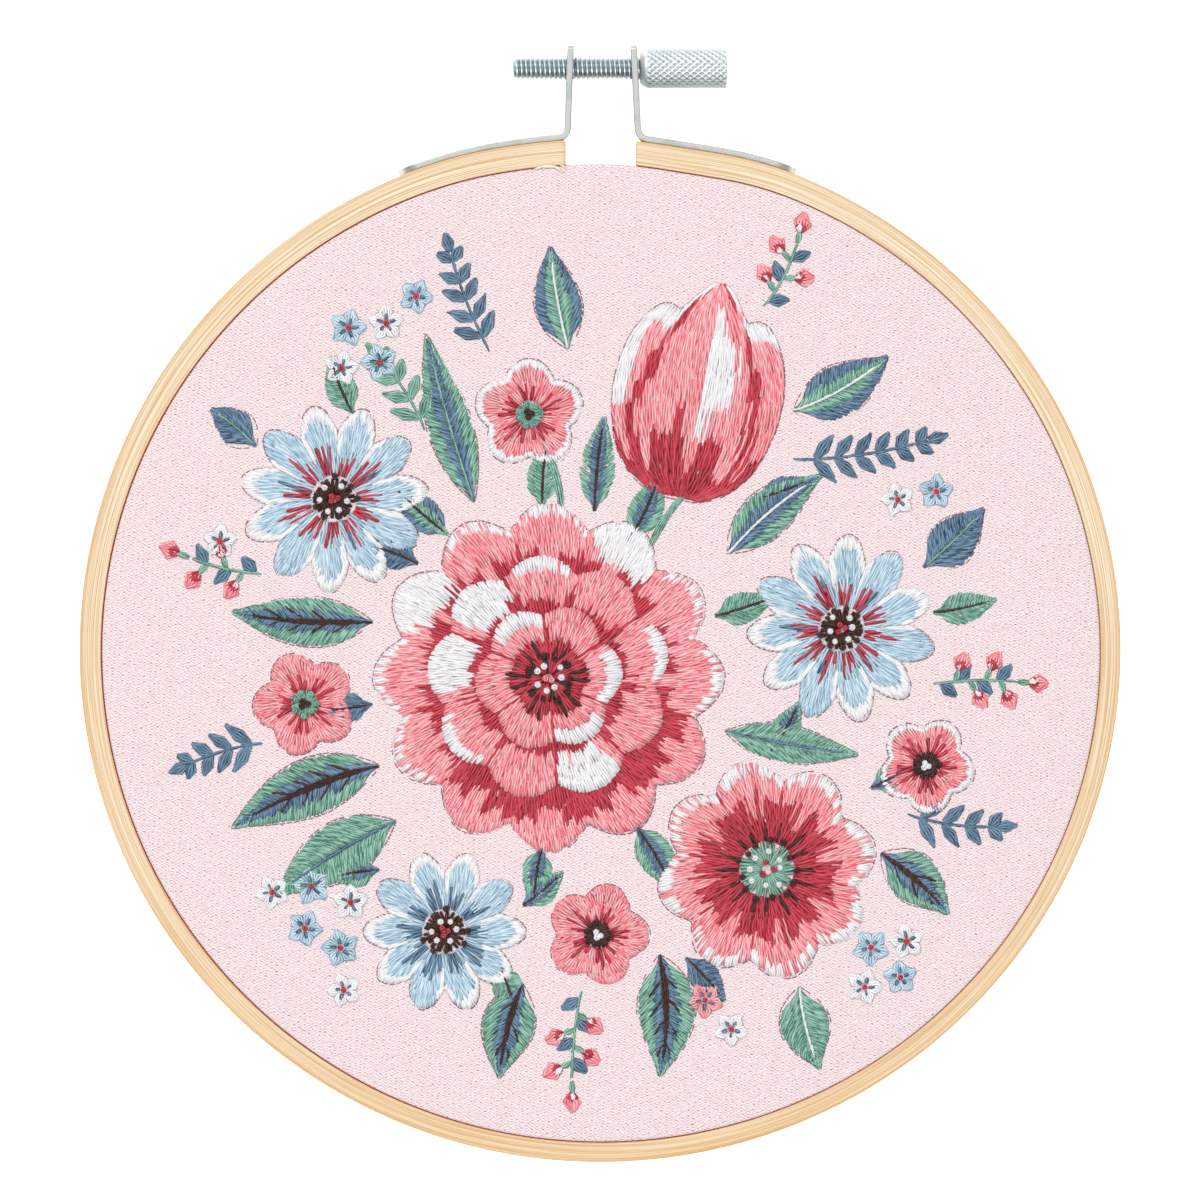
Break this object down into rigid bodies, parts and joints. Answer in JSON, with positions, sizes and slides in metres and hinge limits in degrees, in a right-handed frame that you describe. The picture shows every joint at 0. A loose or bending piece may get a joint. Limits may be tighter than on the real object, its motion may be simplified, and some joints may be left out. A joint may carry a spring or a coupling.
{
  "type": "embroidered cloth in a bamboo embroidery hoop",
  "caption": "Floral hand embroidery on pink cotton, stretched in a round bamboo hoop with a steel thumbscrew; lies flat or hangs by its screw.",
  "frame": {"origin": "on the surface that the hoop lies on, under the middle of the whole outline", "axes": "+Z out of the stitched face, +Y towards the thumbscrew, +X towards the screw's knurled barrel"},
  "size_m": [0.16, 0.1717, 0.0098],
  "materials": {
    "bamboo": "sanded, clear",
    "pink_cotton": "plain weave, matte",
    "zinc_plated_steel": "bright zinc plating, blue tint",
    "coral_thread": "stranded cotton, soft sheen",
    "crimson_thread": "stranded cotton, soft sheen",
    "light_blue_thread": "stranded cotton, soft sheen",
    "slate_blue_thread": "stranded cotton, soft sheen",
    "green_thread": "stranded cotton, soft sheen"
  },
  "bodies": {
    "hoop": {"outer_ring": "bamboo", "inner_ring": "bamboo", "cloth": "pink_cotton", "bracket_left": "zinc_plated_steel", "bracket_right": "zinc_plated_steel", "dahlia": "coral_thread", "cosmos": "crimson_thread", "tulip": "coral_thread", "daisy_left": "light_blue_thread", "daisy_right": "light_blue_thread", "daisy_low": "light_blue_thread", "primrose_left": "coral_thread", "primrose_top": "coral_thread", "primrose_low": "coral_thread", "primrose_right": "coral_thread", "leaf_1": "green_thread", "leaf_2": "green_thread", "leaf_3": "green_thread", "leaf_4": "green_thread", "leaf_5": "green_thread", "leaf_6": "green_thread", "leaf_7": "green_thread", "leaf_8": "green_thread", "leaf_9": "green_thread", "leaf_10": "green_thread", "leaf_11": "slate_blue_thread", "leaf_12": "slate_blue_thread", "leaf_13": "slate_blue_thread", "leaf_14": "slate_blue_thread"},
    "thumbscrew": {"screw_rod": "zinc_plated_steel", "thumb_barrel": "zinc_plated_steel"}
  },
  "joints": [
    {"name": "thumbscrew_turn", "type": "hinge", "parent": "hoop", "child": "thumbscrew", "pos_m": [0, 0.08238, 0.0045], "axis": [1, 0, 0], "continuous": true}
  ]
}
